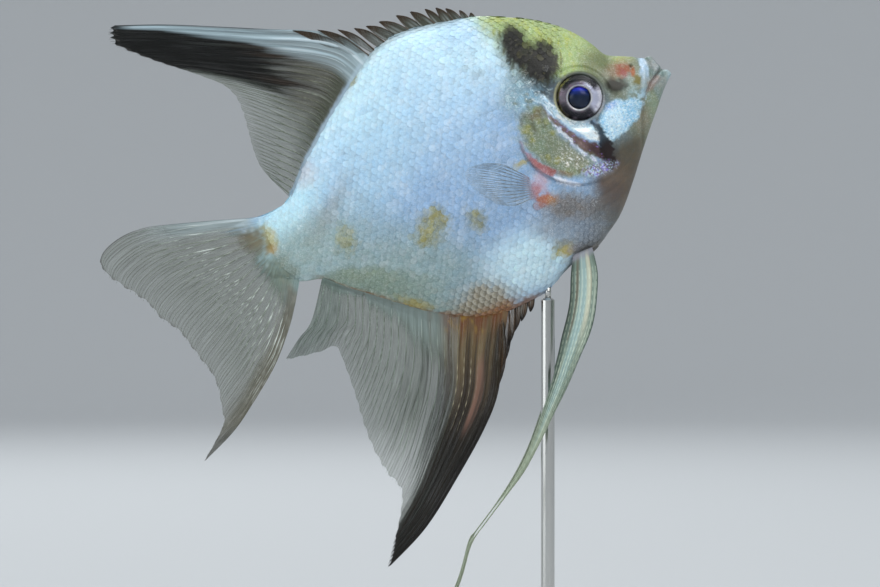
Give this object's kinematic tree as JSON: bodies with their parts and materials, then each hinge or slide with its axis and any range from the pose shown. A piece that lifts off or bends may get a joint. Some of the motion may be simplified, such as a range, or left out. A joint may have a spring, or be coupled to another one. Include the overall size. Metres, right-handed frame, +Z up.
{
  "type": "freshwater angelfish model",
  "caption": "Life-size freshwater angelfish, a tall flat disc of a body with long trailing fins and thread-like pelvic fins, held nose-up on a rod over a flat base.",
  "frame": {"origin": "centre of the underside of the stand's base, on the floor", "axes": "+X the way the fish faces, +Y its left side, +Z up"},
  "size_m": [0.1153, 0.058, 0.1295],
  "materials": {
    "skin_pearl": "scaled, pearly, wet-looking gloss",
    "skin_cheek_silver": "smooth iridescent silver",
    "skin_lip": "smooth satin",
    "eye_silver": "clear glossy lens over a silver iris",
    "fin_smoky": "thin, smoky, see-through between the rays",
    "fin_clear": "thin and see-through between pale rays",
    "fin_cream": "satin, finely streaked",
    "stand_walnut": "oiled satin",
    "stand_steel": "fine brushed"
  },
  "bodies": {
    "root": {"head": "skin_pearl", "upper_jaw": "skin_lip", "lower_jaw": "skin_lip", "gill_cover_left": "skin_cheek_silver", "gill_cover_right": "skin_cheek_silver", "trunk_front": "skin_pearl", "trunk_rear": "skin_pearl", "tail_stalk": "skin_pearl", "eye_left": "eye_silver", "eye_right": "eye_silver", "dorsal_fin_spiny": "fin_smoky", "dorsal_fin_soft": "fin_smoky", "anal_fin_spiny": "fin_smoky", "anal_fin_soft": "fin_smoky", "tail_fin": "fin_clear", "pectoral_fin_left": "fin_cream", "pectoral_fin_right": "fin_cream", "pelvic_fin_left": "fin_cream", "pelvic_fin_right": "fin_cream", "stand_base": "stand_walnut", "stand_collar": "stand_steel", "stand_rod": "stand_steel"}
  },
  "joints": []
}
